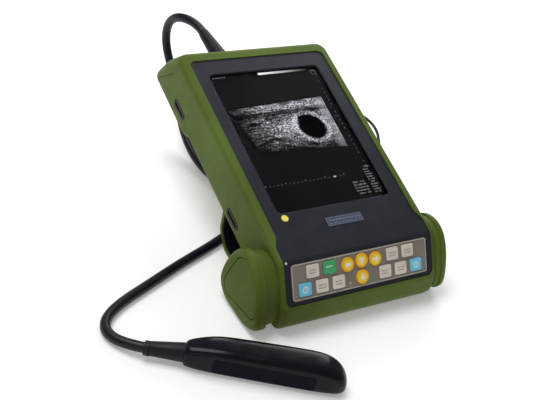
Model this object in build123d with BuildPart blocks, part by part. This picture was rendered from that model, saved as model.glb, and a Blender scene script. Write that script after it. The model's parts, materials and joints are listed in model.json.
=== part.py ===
from build123d import *

import os
from math import atan2, cos, degrees, hypot, radians, sin, tan

os.makedirs("parts", exist_ok=True)

# Portable veterinary ultrasound scanner, lying on a table with its screen raised towards the user.
# +X is the device's right, +Y its back and +Z up. The origin is the middle of the foot under the base.
# "h" runs up the screen and "n" out of it, both from the middle of the screen window.
# "k" runs up the keypad from the lower edge of its overlay, and "n" out of it.

# Screen slab
screen_tilt = 17.7
screen_centre = (86.1, 82.75)
window_w = 98.0
window_h = 130.5
window_corner = 4.0
glass_margin = 3.0
glass_thick = 0.8
body_half = 67.5
rim_n = 1.4
bezel_n = 0.6
bezel_thick = 1.8
bezel_half = 60.0
bezel_top = 79.6
bezel_corner = 5.5
bezel_low_corner = 5.0
shoulder_h = (-84.0, -92.0)
shoulder_r = (9.0, 6.0)
fold_r = 5.0
inner_n = -3.1
slab_back = -38.5
slab_back_top = -43.5
step_foot = 37.0
step_head = 44.0
end_front = 87.6
end_middle = (101.5, -19.0)
end_back = 111.5
end_round = 9.0
front_round = 5.0
wall = 3.0
cover_half = 56.0
cover_foot = -16.0
cover_head = 95.0
cover_flange = 3.0

# Electronics behind the screen, by depth n
gasket_thick = 0.6
lcd_size = (103.0, 138.0)
lcd_back = -4.8
chassis_size = (112.0, 159.0)
chassis_middle = (0.0, 4.5)
chassis_back = -6.2
main_board_n = -13.0
beam_board_n = -20.0
board_thick = 1.6
post_x = 46.0
post_h = (-8.0, 30.0, 80.0)
post_r = 3.5
screw_r = 1.5
screw_head_r = 2.8
screw_head = 1.4
screw_grip = 9.0

# Keypad
keypad_tilt = 59.6
keypad_foot = (-27.9, 27.5)
keypad_half = 63.8
bezel_foot = -3.1
overlay_w = 117.0
overlay_h = 25.7
overlay_top = 0.3
overlay_low = -0.6
key_w = 10.2
key_h = 9.2
round_key_r = 5.3
key_gap = 0.3
key_top = 1.1
key_foot = -1.9
key_flange = 0.5
keypad_board_n = -3.4
keypad_board_thick = 1.4
upper_k = 18.9
lower_k = 7.1
key_pitch = 13.95

# Base, end caps and foot
base_back = 26.0
base_floor = 1.5
base_plate_size = (120.0, 38.0)
base_plate_thick = 3.2
foot_half = (60.0, 21.5)
# (start of flange, outer face, scale of the neck at the body, at its narrowest and at the flange)
cap_left = (78.0, 86.0, 0.89, 0.9, 0.94)
cap_right = (74.2, 80.2, 0.93, 0.95, 0.97)
cap_neck = 69.5
cap_middle = (-2.0, 25.0)
cap_round = 4.0
cap_reach = 27.0
lid_thick = 2.2
lid_gap = 0.45
lid_floor = 0.5

# Probe bay under the slab
bay_half = 60.0
bay_back = 75.7
bay_wall = 2.8
liner_wall = 1.2

# Side slots: (h, n) of each middle
slots = ((59.5, -29.8), (-45.8, -28.6))
slot_len = 19.0
slot_w = 6.0
pin_r = 2.0
pin_x = 65.0
groove_lean = 37.3

# Battery pack: (y, z) of its lower and upper row of cells
cell_r = 9.1
cell_len = 65.0
pack_wall = 0.5
pack_gap = 0.4
pack_low = (-4.0, 21.1)
pack_high = (-2.4, 39.4)
pack_left = -54.0
bay_tube_wall = 0.8

# Cable: its route as straight runs, rounded at each corner
cable_d = 7.4
cable_points = [
    (-18.5, 218.2, 99.7),
    (-19.5, 228.5, 102.5),
    (-26.0, 245.8, 101.2),
    (-28.2, 259.6, 91.8),
    (-28.3, 264.6, 77.8),
    (-27.0, 261.0, 62.0),
    (-24.5, 247.2, 45.6),
    (-26.6, 226.7, 28.4),
    (-30.7, 201.5, 13.0),
    (-31.0, 172.0, 4.2),
    (-25.5, 140.0, 3.8),
    (-24.0, 113.0, 3.8),
    (-30.0, 93.0, 3.8),
    (-42.0, 82.3, 3.8),
    (-55.0, 75.3, 3.8),
    (-70.0, 68.0, 3.8),
    (-102.4, 55.0, 3.8),
    (-132.2, 41.2, 3.8),
    (-160.0, 28.6, 3.8),
    (-174.5, 17.5, 3.8),
    (-178.5, 5.5, 3.9),
    (-172.5, -8.0, 5.2),
    (-161.4, -18.3, 7.4),
]
relief_len = 38.5
relief_tip_r = 4.2
relief_base_r = 7.4

# Carrying cord on the right-hand side: x, h and n of each corner
cord_d = 2.3
cord_corners = [
    (pin_x, *slots[0]),
    (79.0, 38.0, -25.0),
    (90.0, 14.0, -20.0),
    (83.0, -8.0, -20.5),
    (pin_x, *slots[1]),
]

# Probe, lying on the table
probe_axis_z = 9.5
probe_tail = (-138.5, -30.4)
probe_heading = -33.0
probe_window = (20.0, 84.0)
# Cross-sections: distance from the tail, width, height, shift to the far side, shift up, corner
body_sections = [
    (0.0, 15.5, 16.0, -1.2, -0.9, 5.0),
    (10.0, 18.4, 18.6, -0.3, -0.1, 5.5),
    (24.0, 20.5, 20.5, 0.75, 0.75, 5.5),
    (88.0, 22.5, 21.5, 1.75, 1.25, 5.5),
]
nose_sections = [
    (88.0, 22.5, 21.5, 1.75, 1.25, 5.5),
    (97.0, 21.0, 20.2, 1.2, 0.65, 6.5),
    (104.0, 17.0, 17.0, 0.0, -0.9, 6.5),
    (107.7, 9.5, 10.5, -1.0, -2.6, 4.2),
]

screen_sin = sin(radians(screen_tilt))
screen_cos = cos(radians(screen_tilt))
keypad_sin = sin(radians(keypad_tilt))
keypad_cos = cos(radians(keypad_tilt))


def on_slab(h, n):
    """(y, z) of a point h up the screen and n out of it."""
    return (
        screen_centre[0] + h * screen_cos - n * screen_sin,
        screen_centre[1] + h * screen_sin + n * screen_cos,
    )


def on_keypad(k, n):
    """(y, z) of a point k up the keypad and n out of it."""
    return (
        keypad_foot[0] + k * keypad_cos - n * keypad_sin,
        keypad_foot[1] + k * keypad_sin + n * keypad_cos,
    )


def fold(slab_n, keypad_n):
    """(y, z) where the screen's plane at slab_n meets the keypad's plane at keypad_n."""
    y0, z0 = on_slab(0, slab_n)
    y1, z1 = on_keypad(0, keypad_n)
    k = (z0 - z1 + (y1 - y0) * tan(radians(screen_tilt))) / (
        keypad_sin - keypad_cos * tan(radians(screen_tilt))
    )
    return on_keypad(k, keypad_n)


def slab_plane(n):
    y, z = on_slab(0, n)
    return Plane(origin=(0, y, z), x_dir=(1, 0, 0), z_dir=(0, -screen_sin, screen_cos))


def keypad_plane(n):
    y, z = on_keypad(0, n)
    return Plane(origin=(0, y, z), x_dir=(1, 0, 0), z_dir=(0, -keypad_sin, keypad_cos))


def save(part, name):
    part.label = name
    export_step(part, f"parts/{name}.step")


def under(n, y):
    """z of the screen's plane at n, above the table point y."""
    h = (y - screen_centre[0] + n * screen_sin) / screen_cos
    return on_slab(h, n)[1]


# ---------------------------------------------------------------- outlines shared by several pieces
def front_plate(grow, top_n, low_n):
    """Plate that follows the screen and the keypad, larger than the bezel by grow all round."""
    with BuildPart() as plate:
        with BuildSketch(Plane.YZ):
            with BuildLine():
                upper = FilletPolyline(
                    on_slab(bezel_top + grow, top_n),
                    fold(top_n, top_n - bezel_n),
                    on_keypad(bezel_foot - grow, top_n - bezel_n),
                    radius=max(fold_r + top_n, 0.5),
                )
                lower = FilletPolyline(
                    on_keypad(bezel_foot - grow, low_n - bezel_n),
                    fold(low_n, low_n - bezel_n),
                    on_slab(bezel_top + grow, low_n),
                    radius=max(fold_r + low_n, 0.5),
                )
                Line(upper @ 1, lower @ 0)
                Line(lower @ 1, upper @ 0)
            make_face()
        extrude(amount=keypad_half + grow, both=True)
        for side in (-1, 1):
            narrow = side * (bezel_half + grow)
            wide = side * (keypad_half + grow)
            outside = side * 75
            with BuildSketch(slab_plane(0)):
                with BuildLine():
                    FilletPolyline(
                        (narrow, 90),
                        (narrow, shoulder_h[0]),
                        (wide, shoulder_h[1]),
                        (wide, -98),
                        radius=shoulder_r,
                    )
                    Polyline((wide, -98), (outside, -98), (outside, 90), (narrow, 90))
                make_face()
            extrude(amount=30, both=True, mode=Mode.SUBTRACT)
        slab_out = Axis((0, 0, 0), tuple(slab_plane(0).z_dir))
        keypad_out = Axis((0, 0, 0), tuple(keypad_plane(0).z_dir))
        fillet(plate.edges().filter_by(slab_out).group_by(Axis.Y)[-1], bezel_corner)
        fillet(plate.edges().filter_by(keypad_out).group_by(Axis.Z)[0], bezel_low_corner)
    return plate.part


def teardrop(x, inset):
    """Rounded triangle of the lids in the end caps, on the plane at x."""
    with BuildSketch(Plane.YZ.offset(x)) as face:
        with BuildLine():
            FilletPolyline((-0.6, 66), (24, 6.4), (-29.4, 14.7), radius=(12.4, 9.0, 6.5), close=True)
        make_face()
        if inset:
            offset(amount=-inset)
    return face.sketch


def pack_outline(x, grow):
    """Two rows of round cells, one above the other, wrapped, on the plane at x."""
    rise = (pack_high[0] - pack_low[0], pack_high[1] - pack_low[1])
    middle = ((pack_low[0] + pack_high[0]) / 2, (pack_low[1] + pack_high[1]) / 2)
    with BuildSketch(Plane.YZ.offset(x)) as face:
        with Locations(pack_low, pack_high):
            Circle(cell_r + grow)
        with Locations(middle):
            Rectangle(hypot(*rise), 2 * (cell_r + grow), rotation=degrees(atan2(rise[1], rise[0])))
    return face.sketch


def cap_outline(x, scale):
    """Egg-shaped end of the base on the plane at x, scaled about its middle."""
    shape = [(13.0, 1.9), (21.2, 5.7), (25.6, 11.5), (25.8, 20.8), (22.9, 31.0), (19.4, 38.8)]
    shape += [(12.6, 48.2), (0, 52.8)]
    shape += [(-10.5, 50.0), (-20.5, 39.5), (-28.3, 22.0), (-29.3, 10.5), (-17.7, 1.8), (0.7, 1.2)]
    y0, z0 = cap_middle
    points = [(y0 + (y - y0) * scale, z0 + (z - z0) * scale) for y, z in shape]
    with BuildSketch(Plane.YZ.offset(x)) as face:
        with BuildLine():
            Spline(*points, periodic=True)
        make_face()
    return face.sketch


def slab_box(middle, size, top_n, low_n, corner=0.0):
    """Flat plate parallel to the screen, added to the part being built."""
    with BuildSketch(slab_plane(low_n)) as face:
        with Locations(middle):
            if corner:
                RectangleRounded(*size, corner)
            else:
                Rectangle(*size)
    extrude(face.sketch, amount=top_n - low_n)


def side_plane(side, x, h, n):
    """Plane facing out of one side of the slab, its x axis up the screen."""
    return Plane(origin=(side * x, *on_slab(h, n)), x_dir=(0, screen_cos, screen_sin), z_dir=(side, 0, 0))


def pin_plane(side, h, n, length):
    """Plane at the lower end of a pin of that length in a side slot, facing up the screen."""
    return Plane(
        origin=(side * pin_x, *on_slab(h - length / 2, n)),
        x_dir=(1, 0, 0),
        z_dir=(0, screen_cos, screen_sin),
    )


def back_of(h):
    """n of the slab's back at h."""
    return slab_back if h < step_foot else slab_back_top


def end_corners_of(edges, half_width):
    """Upright edges on both sides of the slab's top end."""
    return [
        edge
        for edge in edges
        if abs(edge.center().X) > half_width - 0.01
        and on_slab(84, 0)[0] < edge.center().Y
        and abs((edge % 0.5).dot(slab_plane(0).z_dir)) > 0.5
    ]


# ---------------------------------------------------------------- housing shell
bezel_under = bezel_n - bezel_thick
bezel_recess = front_plate(0.25, 8.0, bezel_under)
ledge_hole = front_plate(-2.5, 3.0, -6.0)
relief_plane = Plane(
    origin=cable_points[0],
    x_dir=(1, 0, 0),
    z_dir=Vector(*cable_points[1]) - Vector(*cable_points[0]),
)

with BuildPart() as rear_opening:
    with BuildSketch(Plane.YZ):
        with BuildLine():
            Polyline(
                on_slab(cover_foot - 0.25, slab_back - 5),
                on_slab(step_foot, slab_back - 10),
                on_slab(cover_head + 0.25, slab_back_top - 5),
                on_slab(cover_head + 0.25, slab_back_top + wall + 0.5),
                on_slab(step_head + 1.5, slab_back_top + wall + 0.5),
                on_slab(step_foot + 1, slab_back + wall + 0.5),
                on_slab(cover_foot - 0.25, slab_back + wall + 0.5),
                close=True,
            )
        make_face()
    extrude(amount=cover_half + 0.25, both=True)

with BuildPart() as hollow:
    with BuildSketch(Plane.YZ):
        with BuildLine():
            FilletPolyline(
                on_slab(83, inner_n),
                on_slab(end_middle[0] - 3.5, end_middle[1]),
                on_slab(end_back - 4, slab_back_top + wall),
                on_slab(step_head + 1.5, slab_back_top + wall),
                on_slab(step_foot + 1, slab_back + wall),
                (base_back - wall, under(slab_back + wall, base_back - wall)),
                (base_back - wall, base_floor + wall),
                (-23.5, base_floor + wall),
                (-28.2, 11.0),
                on_keypad(-3.5, inner_n - bezel_n),
                fold(inner_n, inner_n - bezel_n),
                radius=(0, 20, 0, 0, 0, 1, 2, 3, 5, 1, 1),
                close=True,
            )
        make_face()
    extrude(amount=body_half - wall, both=True)
    fillet(end_corners_of(hollow.edges(), body_half - wall), end_round - wall)

with BuildPart() as housing_shell:
    with BuildSketch(Plane.YZ):
        with BuildLine():
            FilletPolyline(
                on_slab(end_front, rim_n),
                on_slab(*end_middle),
                on_slab(end_back, slab_back_top),
                on_slab(step_head, slab_back_top),
                on_slab(step_foot, slab_back),
                (base_back, under(slab_back, base_back)),
                (base_back, base_floor),
                (-25.5, base_floor),
                (-32.0, 10.5),
                on_keypad(-5.5, 0.8),
                fold(rim_n, 0.8),
                radius=(0, 25, 0, 3, 3, 3, 3, 5, 9, 2, 6.8),
                close=True,
            )
        make_face()
    extrude(amount=body_half, both=True)
    fillet(end_corners_of(housing_shell.edges(), body_half), end_round)
    front_edge = Vector(0, *on_slab(end_front, rim_n))
    across = housing_shell.edges().filter_by(Axis.X)
    fillet(across.sort_by(lambda edge: (edge.center() - front_edge).length)[0], front_round)
    add(hollow.part, mode=Mode.SUBTRACT)
    add(bezel_recess, mode=Mode.SUBTRACT)
    add(ledge_hole, mode=Mode.SUBTRACT)
    add(rear_opening.part, mode=Mode.SUBTRACT)
    for side in (-1, 1):
        # Slots for a cord or strap, with a hole for the pin across each
        for h, n in slots:
            with BuildSketch(side_plane(side, 63, h, n)):
                SlotOverall(slot_len, slot_w)
            extrude(amount=6, mode=Mode.SUBTRACT)
            with BuildSketch(pin_plane(side, h, n, slot_len + 4)):
                Circle(pin_r)
            extrude(amount=slot_len + 4, mode=Mode.SUBTRACT)
        # Shallow groove near the top end
        with BuildSketch(side_plane(side, body_half - 0.5, 89.5, -23.8)):
            Rectangle(0.9, 27, rotation=side * groove_lean)
        extrude(amount=2, mode=Mode.SUBTRACT)
    # Way through for the cable's strain relief
    with BuildSketch(relief_plane.offset(-relief_len)):
        Circle(relief_base_r + 0.15)
    extrude(amount=relief_len, mode=Mode.SUBTRACT)
    # Way through the right-hand wall for the battery pack
    extrude(pack_outline(body_half - wall - 1, pack_wall + pack_gap), amount=wall + 2, mode=Mode.SUBTRACT)
save(housing_shell.part, "housing_shell")

with BuildPart() as rear_cover:
    with BuildSketch(Plane.YZ):
        with BuildLine():
            FilletPolyline(
                on_slab(cover_foot, slab_back),
                on_slab(step_foot, slab_back),
                on_slab(step_head, slab_back_top),
                on_slab(cover_head, slab_back_top),
                on_slab(cover_head, slab_back_top + wall),
                on_slab(step_head + 1.5, slab_back_top + wall),
                on_slab(step_foot + 1, slab_back + wall),
                on_slab(cover_foot, slab_back + wall),
                radius=(0, 3, 3, 0, 0, 0, 0, 0),
                close=True,
            )
        make_face()
    extrude(amount=cover_half, both=True)
    # Flange that grips the housing from inside
    with BuildSketch(Plane.YZ):
        with BuildLine():
            Polyline(
                on_slab(cover_foot - cover_flange, slab_back + wall),
                on_slab(step_foot + 1, slab_back + wall),
                on_slab(step_head + 1.5, slab_back_top + wall),
                on_slab(cover_head + cover_flange, slab_back_top + wall),
                on_slab(cover_head + cover_flange, slab_back_top + wall + 1.8),
                on_slab(step_head + 2.4, slab_back_top + wall + 1.8),
                on_slab(step_foot + 1.9, slab_back + wall + 1.8),
                on_slab(cover_foot - cover_flange, slab_back + wall + 1.8),
                close=True,
            )
        make_face()
    extrude(amount=cover_half + cover_flange, both=True)
    for foot, head, n in ((cover_foot + 3, step_foot, slab_back), (step_foot, cover_head - 3, slab_back_top)):
        with BuildSketch(slab_plane(n + wall)):
            with Locations((0, (foot + head) / 2)):
                Rectangle(2 * (cover_half - 3), head - foot)
        extrude(amount=12, mode=Mode.SUBTRACT)
    for h in post_h:
        with BuildSketch(slab_plane(back_of(h))):
            with Locations((-post_x, h), (post_x, h)):
                Circle(screw_r + 0.1)
        extrude(amount=wall, mode=Mode.SUBTRACT)
        with BuildSketch(slab_plane(back_of(h))):
            with Locations((-post_x, h), (post_x, h)):
                Circle(screw_head_r + 0.2)
        extrude(amount=screw_head + 0.1, mode=Mode.SUBTRACT)
save(rear_cover.part, "rear_cover")

with BuildPart() as cover_screws:
    for h in post_h:
        with BuildSketch(slab_plane(back_of(h) + 0.1)):
            with Locations((-post_x, h), (post_x, h)):
                Circle(screw_head_r)
        extrude(amount=screw_head)
        with BuildSketch(slab_plane(back_of(h) + 0.1 + screw_head)):
            with Locations((-post_x, h), (post_x, h)):
                Circle(screw_r)
        extrude(amount=screw_grip)
    for h in post_h:
        with BuildSketch(slab_plane(back_of(h) + 0.1)):
            with Locations((-post_x, h), (post_x, h)):
                RegularPolygon(1.3, 6)
        extrude(amount=0.8, mode=Mode.SUBTRACT)
save(cover_screws.part, "cover_screws")

# ---------------------------------------------------------------- bezel, glass and screen
bezel_plate = front_plate(0, bezel_n, bezel_under)
with BuildPart() as front_bezel:
    add(bezel_plate)
    with BuildSketch(slab_plane(bezel_under)):
        RectangleRounded(window_w, window_h, window_corner)
    extrude(amount=bezel_thick + 1, mode=Mode.SUBTRACT)
    with BuildSketch(slab_plane(bezel_n)):
        RectangleRounded(window_w + 1.6, window_h + 1.6, window_corner + 0.8)
    extrude(amount=-0.8, taper=45, mode=Mode.SUBTRACT)
    with BuildSketch(slab_plane(bezel_under)):
        Rectangle(window_w + glass_margin, window_h + glass_margin)
    extrude(amount=glass_thick, mode=Mode.SUBTRACT)
    with BuildSketch(keypad_plane(overlay_low)):
        with Locations((0, overlay_h / 2)):
            RectangleRounded(overlay_w + 0.3, overlay_h + 0.3, 2.2)
    extrude(amount=3, mode=Mode.SUBTRACT)
    with BuildSketch(keypad_plane(-5)):
        with Locations((0, 13.1)):
            RectangleRounded(110.5, 23.8, 2)
    extrude(amount=6, mode=Mode.SUBTRACT)
save(front_bezel.part, "front_bezel")

with BuildPart() as window_glass:
    slab_box((0, 0), (window_w + glass_margin, window_h + glass_margin), bezel_under + glass_thick, bezel_under)
save(window_glass.part, "window_glass")

gasket_back = bezel_under - gasket_thick
with BuildPart() as lcd_gasket:
    with BuildSketch(slab_plane(gasket_back)):
        Rectangle(window_w + glass_margin, window_h + glass_margin)
        Rectangle(window_w + 0.6, window_h + 0.6, mode=Mode.SUBTRACT)
    extrude(amount=gasket_thick)
save(lcd_gasket.part, "lcd_gasket")

with BuildPart() as lcd_panel:
    slab_box((0, 0), lcd_size, gasket_back, lcd_back)
save(lcd_panel.part, "lcd_panel")

with BuildPart() as name_plate:
    slab_box((-0.3, -79.6), (31.0, 7.6), bezel_n + 0.3, bezel_n, 0.8)
save(name_plate.part, "name_plate")

# ---------------------------------------------------------------- electronics
with BuildPart() as chassis_plate:
    slab_box(chassis_middle, chassis_size, lcd_back, chassis_back, 4)
    with BuildSketch(slab_plane(chassis_back)):
        with GridLocations(50, 60, 2, 2):
            RectangleRounded(34, 40, 4)
    extrude(amount=3, mode=Mode.SUBTRACT)
save(chassis_plate.part, "chassis_plate")

with BuildPart() as cover_posts:
    for h in post_h:
        with BuildSketch(slab_plane(back_of(h) + wall)):
            with Locations((-post_x, h), (post_x, h)):
                Circle(post_r)
                Circle(screw_r, mode=Mode.SUBTRACT)
        extrude(amount=chassis_back - back_of(h) - wall)
save(cover_posts.part, "cover_posts")

spacer_spots = [(x, h) for x in (-36, 36) for h in (-62, 62)]
with BuildPart() as board_spacers:
    for low, high in ((main_board_n, chassis_back), (beam_board_n, main_board_n - board_thick)):
        with BuildSketch(slab_plane(low)):
            with Locations(*spacer_spots):
                Circle(2.6)
        extrude(amount=high - low)
save(board_spacers.part, "board_spacers")

with BuildPart() as main_board:
    slab_box((0, 0), (84, 136), main_board_n, main_board_n - board_thick, 2)
save(main_board.part, "main_board")

chips = (
    (0, 24, 22, 22, 2.4),
    (-24, 20, 14, 14, 1.6),
    (24, 26, 12, 18, 1.8),
    (-22, -18, 18, 10, 1.5),
    (8, -16, 12, 12, 1.6),
    (26, -24, 10, 14, 2.6),
    (-4, -44, 30, 8, 3.2),
)
with BuildPart() as main_board_chips:
    for x, h, w, d, tall in chips:
        with BuildSketch(slab_plane(main_board_n - board_thick)):
            with Locations((x, h)):
                Rectangle(w, d)
        extrude(amount=-tall)
save(main_board_chips.part, "main_board_chips")

with BuildPart() as beamformer_board:
    slab_box((0, 0), (84, 136), beam_board_n, beam_board_n - board_thick, 2)
save(beamformer_board.part, "beamformer_board")

beam_board_back = beam_board_n - board_thick
with BuildPart() as shield_can:
    slab_box((0, 4), (66, 84), beam_board_back, beam_board_back - 7, 2)
    with BuildSketch(slab_plane(beam_board_back - 6.4)):
        with Locations((0, 4)):
            RectangleRounded(64.8, 82.8, 1.4)
    extrude(amount=6.4, mode=Mode.SUBTRACT)
save(shield_can.part, "shield_can")

# ---------------------------------------------------------------- keypad
# name, x, k, round
keys = [
    ("key_upper_1", -3 * key_pitch + 0.5, upper_k, False),
    ("key_freeze", -2 * key_pitch + 0.5, upper_k, False),
    ("key_left", -12.0, upper_k - 0.9, True),
    ("key_up", 0.0, upper_k, True),
    ("key_right", 12.0, upper_k - 0.9, True),
    ("key_upper_2", 2 * key_pitch - 0.7, upper_k, False),
    ("key_upper_3", 3 * key_pitch - 0.9, upper_k, False),
    ("key_save", -3.5 * key_pitch + 0.5, lower_k, False),
    ("key_lower_1", -2.5 * key_pitch + 0.5, lower_k, False),
    ("key_lower_2", -1.5 * key_pitch + 0.5, lower_k, False),
    ("key_down", 0.0, lower_k - 0.1, True),
    ("key_lower_3", 1.5 * key_pitch - 0.7, lower_k, False),
    ("key_lower_4", 2.5 * key_pitch - 0.7, lower_k, False),
    ("key_power", 3.5 * key_pitch - 0.8, lower_k, False),
]

with BuildPart() as keypad_overlay:
    with BuildSketch(keypad_plane(overlay_low)):
        with Locations((0, overlay_h / 2)):
            RectangleRounded(overlay_w, overlay_h, 2)
    extrude(amount=overlay_top - overlay_low - 0.15)
    # Raised border
    with BuildSketch(keypad_plane(overlay_top - 0.15)):
        with Locations((0, overlay_h / 2)):
            RectangleRounded(overlay_w, overlay_h, 2)
            RectangleRounded(overlay_w - 1.8, overlay_h - 1.8, 1.2, mode=Mode.SUBTRACT)
    extrude(amount=0.15)
    for _, x, k, is_round in keys:
        with BuildSketch(keypad_plane(overlay_low)):
            with Locations((x, k)):
                if is_round:
                    Circle(round_key_r + key_gap)
                else:
                    RectangleRounded(key_w + 2 * key_gap, key_h + 2 * key_gap, 1.4)
        extrude(amount=2, mode=Mode.SUBTRACT)
save(keypad_overlay.part, "keypad_overlay")

for name, x, k, is_round in keys:
    with BuildPart() as key:
        with BuildSketch(keypad_plane(key_foot)):
            with Locations((x, k)):
                if is_round:
                    Circle(round_key_r)
                else:
                    RectangleRounded(key_w, key_h, 1.2)
        extrude(amount=key_top - key_foot)
        fillet(key.faces().sort_by(Axis((0, 0, 0), tuple(keypad_plane(0).z_dir)))[-1].edges(), 0.4)
        with BuildSketch(keypad_plane(key_foot)):
            with Locations((x, k)):
                if is_round:
                    Circle(round_key_r + key_flange)
                else:
                    RectangleRounded(key_w + 2 * key_flange, key_h + 2 * key_flange, 1.2)
        extrude(amount=0.9)
    save(key.part, name)

with BuildPart() as keypad_board:
    with BuildSketch(keypad_plane(keypad_board_n)):
        with Locations((0, overlay_h / 2)):
            RectangleRounded(112, 25.4, 1.5)
    extrude(amount=-keypad_board_thick)
save(keypad_board.part, "keypad_board")

with BuildPart() as key_domes:
    with BuildSketch(keypad_plane(keypad_board_n)):
        with Locations(*[(x, k) for _, x, k, _ in keys]):
            Circle(3.0)
    extrude(amount=0.6, taper=30)
save(key_domes.part, "key_domes")

# ---------------------------------------------------------------- end caps of the base
def cap_blank(flange, outer, at_body, at_neck, at_flange):
    """Solid right-hand cap: a neck next to the body, then a flange with a rounded outer edge."""
    with BuildPart() as blank:
        extrude(cap_outline(body_half, at_body), amount=cap_neck - body_half)
        loft([cap_outline(cap_neck, at_neck), cap_outline(flange, at_flange)])
        extrude(cap_outline(flange, 1.0), amount=outer - cap_round - flange)
        rounded = []
        for turn in (0, 30, 60, 90):
            x = outer - cap_round + cap_round * sin(radians(turn))
            inset = cap_round * (1 - cos(radians(turn)))
            rounded.append(cap_outline(x, 1 - inset / cap_reach))
        loft(rounded)
    return blank.part


door_back = cap_right[1] - lid_thick
with BuildPart() as end_cap_right:
    add(cap_blank(*cap_right))
    extrude(teardrop(door_back - lid_floor, 0), amount=10, mode=Mode.SUBTRACT)
    extrude(pack_outline(body_half - 1, pack_wall + pack_gap), amount=20, mode=Mode.SUBTRACT)
save(end_cap_right.part, "end_cap_right")

lid_back = cap_left[1] - lid_thick
port_floor = -72.0
with BuildPart() as end_cap_left:
    add(mirror(cap_blank(*cap_left), about=Plane.YZ))
    extrude(teardrop(-lid_back + lid_floor, 0), amount=-10, mode=Mode.SUBTRACT)
    extrude(teardrop(port_floor, 3), amount=-15, mode=Mode.SUBTRACT)
save(end_cap_left.part, "end_cap_left")

with BuildPart() as port_cover:
    extrude(teardrop(-lid_back, lid_gap), amount=-lid_thick)
    fillet(port_cover.faces().sort_by(Axis.X)[0].edges(), 0.6)
save(port_cover.part, "port_cover")

with BuildPart() as port_panel:
    extrude(teardrop(port_floor, 3.2), amount=-2)
save(port_panel.part, "port_panel")

port_front = port_floor - 2
with BuildPart() as dc_socket:
    with BuildSketch(Plane.YZ.offset(port_front)):
        with Locations((-15, 20)):
            Circle(4.0)
            Circle(2.8, mode=Mode.SUBTRACT)
            Circle(1.0)
    extrude(amount=-4)
    with BuildSketch(Plane.YZ.offset(port_front)):
        with Locations((-15, 20)):
            Circle(4.0)
    extrude(amount=-1)
save(dc_socket.part, "dc_socket")

with BuildPart() as usb_socket:
    with BuildSketch(Plane.YZ.offset(port_front)):
        with Locations((-2.5, 20)):
            Rectangle(13.6, 6.2)
    extrude(amount=-1)
    with BuildSketch(Plane.YZ.offset(port_front - 1)):
        with Locations((-2.5, 20)):
            Rectangle(13.6, 6.2)
            Rectangle(12.6, 5.2, mode=Mode.SUBTRACT)
        with Locations((-2.5, 20.9)):
            Rectangle(11, 1.8)
    extrude(amount=-3)
save(usb_socket.part, "usb_socket")

with BuildPart() as video_socket:
    with BuildSketch(Plane.YZ.offset(port_front)):
        with Locations((9, 20)):
            Circle(3.6)
        with Locations((-3, 35)):
            Circle(5.0)
    extrude(amount=-1)
    with BuildSketch(Plane.YZ.offset(port_front - 1)):
        with Locations((9, 20)):
            Circle(3.6)
            Circle(1.9, mode=Mode.SUBTRACT)
        with Locations((-3, 35)):
            Circle(5.0)
            Circle(3.8, mode=Mode.SUBTRACT)
            Circle(1.2)
    extrude(amount=-3)
save(video_socket.part, "video_socket")

# ---------------------------------------------------------------- battery drawer
with BuildPart() as battery_door:
    extrude(teardrop(door_back, lid_gap), amount=lid_thick)
    fillet(battery_door.faces().sort_by(Axis.X)[-1].edges(), 0.6)
save(battery_door.part, "battery_door")

cells_left = pack_left + 0.6
with BuildPart() as battery_sleeve:
    extrude(pack_outline(pack_left, pack_wall), amount=door_back - pack_left)
    extrude(pack_outline(cells_left, 0), amount=2 * cell_len, mode=Mode.SUBTRACT)
save(battery_sleeve.part, "battery_sleeve")

with BuildPart() as battery_cells:
    for left in (cells_left, cells_left + cell_len):
        with BuildSketch(Plane.YZ.offset(left)):
            with Locations(pack_low, pack_high):
                Circle(cell_r - 0.05)
        extrude(amount=cell_len - 1.0)
        with BuildSketch(Plane.YZ.offset(left + cell_len - 1.0)):
            with Locations(pack_low, pack_high):
                Circle(2.8)
        extrude(amount=0.9)
save(battery_cells.part, "battery_cells")

bay_left = pack_left - 2
bay_len = body_half - wall - bay_left
with BuildPart() as battery_bay:
    extrude(pack_outline(bay_left, pack_wall + pack_gap + bay_tube_wall), amount=bay_len)
    extrude(pack_outline(bay_left, pack_wall + pack_gap), amount=bay_len, mode=Mode.SUBTRACT)
save(battery_bay.part, "battery_bay")

# ---------------------------------------------------------------- foot and probe bay
with BuildPart() as foot_pad:
    with BuildSketch(Plane.XY):
        RectangleRounded(2 * foot_half[0], 2 * foot_half[1], 6)
    extrude(amount=base_floor)
    fillet(foot_pad.faces().sort_by(Axis.Z)[0].edges(), 0.5)
save(foot_pad.part, "foot_pad")

# Steel plate on the floor of the base, which keeps the scanner from tipping back
with BuildPart() as base_plate:
    with BuildSketch(Plane.XY.offset(base_floor + wall)):
        RectangleRounded(*base_plate_size, 4)
    extrude(amount=base_plate_thick)
save(base_plate.part, "base_plate")

bay_front = base_back + 0.1
with BuildPart() as probe_bay_shell:
    with BuildSketch(Plane.YZ):
        with BuildLine():
            outer = FilletPolyline(
                (bay_back, under(slab_back - 0.1, bay_back)),
                (bay_back, 12.8),
                (63.5, 0),
                (bay_front, 0),
                (bay_front, under(slab_back - 0.1, bay_front) - 3),
                radius=(12, 14, 2),
            )
            inner = FilletPolyline(
                (bay_front + 2, under(slab_back - 0.1, bay_front) - 3),
                (bay_front + 2, bay_wall),
                (62.3, bay_wall),
                (bay_back - bay_wall, 13.9),
                (bay_back - bay_wall, under(slab_back - 0.1, bay_back - bay_wall)),
                radius=(1, 11.2, 9.2),
            )
            Line(outer @ 1, inner @ 0)
            Line(inner @ 1, outer @ 0)
        make_face()
    extrude(amount=bay_half, both=True)
save(probe_bay_shell.part, "probe_bay_shell")

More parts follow.
